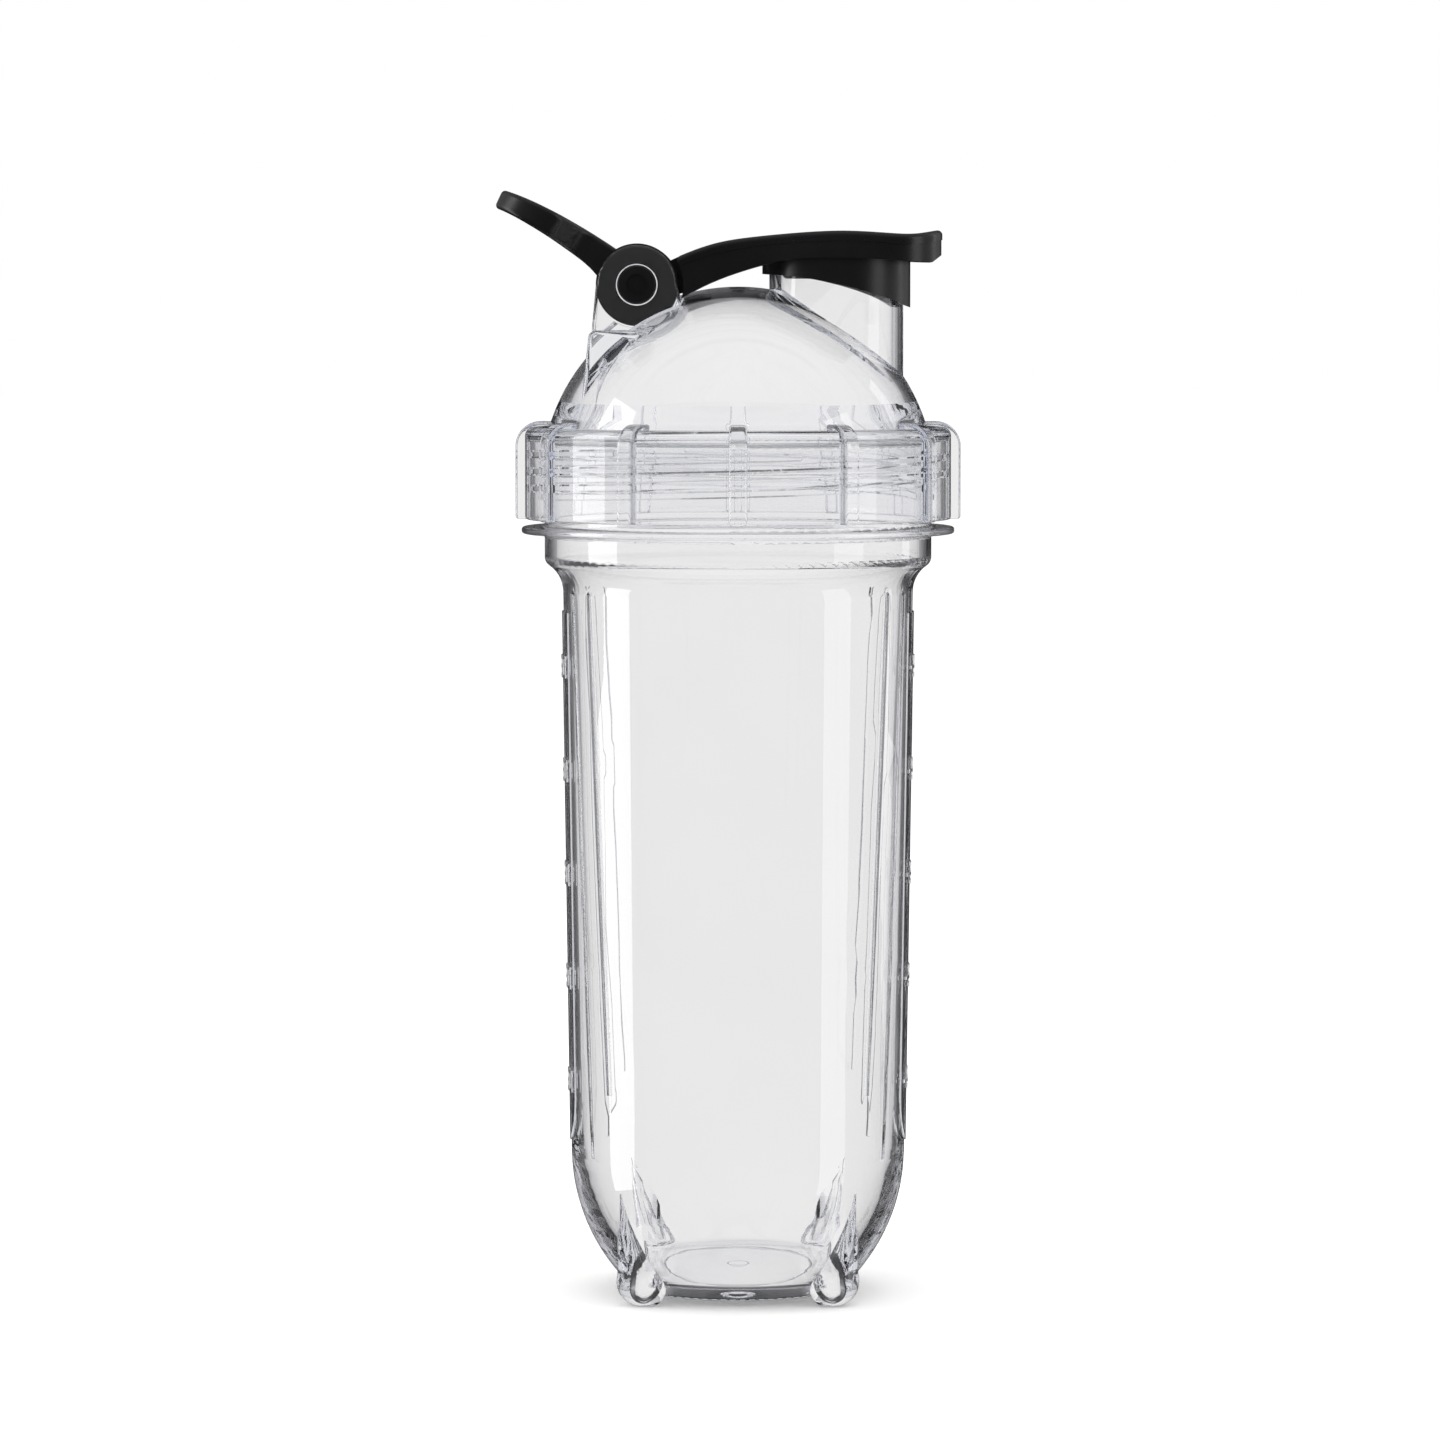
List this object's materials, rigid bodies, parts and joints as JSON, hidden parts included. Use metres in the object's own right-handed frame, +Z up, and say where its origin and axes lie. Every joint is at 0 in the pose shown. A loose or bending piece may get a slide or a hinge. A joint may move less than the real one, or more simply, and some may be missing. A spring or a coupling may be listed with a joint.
{
  "type": "shaker bottle",
  "caption": "Clear screw-top shaker bottle with a domed lid, a hinged flip cap over the spout, a carry loop and feet.",
  "frame": {"origin": "on the bottle's axis, in the plane that its four feet stand on", "axes": "+Z up along the bottle's axis; +X towards the spout; the hinge of the cap and loop is parallel to Y on the -X side"},
  "size_m": [0.1051, 0.1012, 0.2513],
  "materials": {
    "clear_copolyester": "polished clear",
    "clear_lid": "polished clear",
    "black_plastic": "semi-gloss moulded",
    "black_cover": "gloss moulded",
    "black_pin": "semi-gloss moulded",
    "black_loop": "semi-gloss moulded",
    "seal_silicone": "translucent silicone",
    "stopper_elastomer": "matte elastomer"
  },
  "bodies": {
    "bottle": {"bottle_body": "clear_copolyester"},
    "gasket": {"lid_gasket": "seal_silicone"},
    "lid": {"lid_shell": "clear_lid", "hinge_pin": "black_pin"},
    "cap": {"flip_cap": "black_plastic", "cap_cover": "black_cover", "spout_stopper": "stopper_elastomer"},
    "loop": {"carry_loop": "black_loop"}
  },
  "joints": [
    {"name": "lid_lift", "type": "slide", "parent": "bottle", "child": "gasket", "axis": [0, 0, 1], "range_m": [0, 0.02117]},
    {"name": "lid_turn", "type": "hinge", "parent": "gasket", "child": "lid", "pos_m": [0, 0, 0.19], "axis": [0, 0, 1], "range_deg": [0, 989]},
    {"name": "cap_hinge", "type": "hinge", "parent": "lid", "child": "cap", "pos_m": [-0.0228, 0, 0.2301], "axis": [0, -1, 0], "range_deg": [0, 85]},
    {"name": "loop_hinge", "type": "hinge", "parent": "lid", "child": "loop", "pos_m": [-0.0228, 0, 0.2301], "axis": [0, -1, 0], "range_deg": [-12, 50]}
  ],
  "couplings": [
    {"joint": "lid_lift", "follows": "lid_turn", "m_per_rad": 0.0012255}
  ]
}
